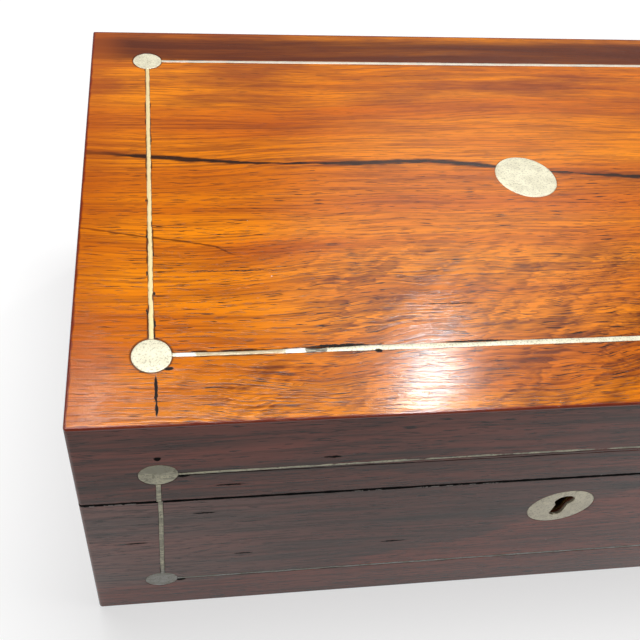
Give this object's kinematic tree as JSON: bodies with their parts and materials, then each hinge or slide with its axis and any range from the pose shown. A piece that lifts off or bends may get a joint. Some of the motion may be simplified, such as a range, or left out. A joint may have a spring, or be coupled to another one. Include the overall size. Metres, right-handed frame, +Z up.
{
  "type": "writing slope",
  "caption": "Veneered wooden writing box with inlaid lines, opening on a sloping seam into a leather-covered writing slope with pen tray, inkwells and lock.",
  "frame": {"origin": "on the table, under the middle of the closed case", "axes": "+X along the front to the right as seen from the lock side, +Y from the lock side to the hinges, +Z up"},
  "size_m": [0.356, 0.221, 0.142],
  "materials": {
    "rosewood": "French polished, high gloss",
    "mahogany": "polished, satin",
    "white_metal": "inlaid flush, finely scratched",
    "brass": "aged, satin",
    "steel": "dark, oiled",
    "leather": "thin skiver, gilt border line",
    "ribbon": "woven",
    "lining_paper": "matt",
    "glass": "clear, moulded"
  },
  "bodies": {
    "base": {"base_bottom_board": "mahogany", "base_front_board": "mahogany", "base_back_board": "mahogany", "base_left_board": "mahogany", "base_right_board": "mahogany", "base_front_veneer": "rosewood", "base_back_veneer": "rosewood", "base_left_veneer": "rosewood", "base_right_veneer": "rosewood", "base_discs": "white_metal", "base_stringing": "white_metal", "keyhole_escutcheon": "white_metal", "lock_case": "brass", "lock_back_plate": "brass", "lock_screws": "steel", "base_hinge_leaves": "brass", "hinge_pins": "steel", "base_hinge_screws": "brass", "pen_well_divider": "mahogany", "ink_partitions": "mahogany", "inkwell_platforms": "mahogany", "pen_tray": "mahogany", "pen_tray_ledges": "mahogany", "ink_bottles": "glass", "ink_bottle_collars": "brass", "base_flap_ledges": "mahogany", "base_hinge_rail": "mahogany", "base_rail_leather": "leather", "base_well_lining": "lining_paper"},
    "lid": {"lid_top_board": "mahogany", "lid_front_board": "mahogany", "lid_back_board": "mahogany", "lid_left_board": "mahogany", "lid_right_board": "mahogany", "lid_top_veneer": "rosewood", "lid_front_veneer": "rosewood", "lid_back_veneer": "rosewood", "lid_left_veneer": "rosewood", "lid_right_veneer": "rosewood", "lid_discs": "white_metal", "lid_stringing": "white_metal", "lid_medallion": "white_metal", "lid_hinge_leaves": "brass", "lid_hinge_screws": "brass", "link_plate": "brass", "lid_rim_screws": "steel", "lid_flap_ledges": "mahogany", "lid_hinge_rail": "mahogany", "lid_rail_leather": "leather", "lid_well_lining": "lining_paper"},
    "base_flap": {"base_flap_board": "mahogany", "base_flap_leather": "leather", "base_flap_ribbon": "ribbon"},
    "lid_flap": {"lid_flap_board": "mahogany", "lid_flap_leather": "leather"},
    "flap_catch": {"flap_catch": "brass"},
    "lock_bolt": {"lock_bolt": "steel"},
    "left_ink_cap": {"left_ink_cap": "brass"},
    "right_ink_cap": {"right_ink_cap": "brass"}
  },
  "joints": [
    {"name": "lid_hinge", "type": "hinge", "parent": "base", "child": "lid", "pos_m": [0, 0.1095, 0.071], "axis": [-1, 0, 0], "range_deg": [0, 180]},
    {"name": "base_flap_hinge", "type": "hinge", "parent": "base", "child": "base_flap", "pos_m": [0, 0.08802, 0.07281], "axis": [-1, 0, 0], "range_deg": [0, 75]},
    {"name": "lid_flap_hinge", "type": "hinge", "parent": "lid", "child": "lid_flap", "pos_m": [0, 0.08812, 0.0738], "axis": [1, 0, 0], "range_deg": [0, 75]},
    {"name": "lock_bolt_slide", "type": "slide", "parent": "base", "child": "lock_bolt", "axis": [1, 0, 0], "range_m": [0, 0.0045]},
    {"name": "flap_catch_turn", "type": "hinge", "parent": "lid", "child": "flap_catch", "pos_m": [0.07, -0.10437, 0.09526], "axis": [0, 0.1069, 0.9943], "range_deg": [0, 90]},
    {"name": "left_ink_cap_turn", "type": "hinge", "parent": "base", "child": "left_ink_cap", "pos_m": [-0.147, -0.077, 0.07559], "axis": [0, 0, 1], "range_deg": [0, 360]},
    {"name": "right_ink_cap_turn", "type": "hinge", "parent": "base", "child": "right_ink_cap", "pos_m": [0.147, -0.077, 0.07559], "axis": [0, 0, 1], "range_deg": [0, 360]}
  ],
  "couplings": [
    {"joint": "base_flap_hinge", "follows": "lid_hinge", "ratio": 0.4},
    {"joint": "lid_flap_hinge", "follows": "lid_hinge", "ratio": 0.4}
  ]
}
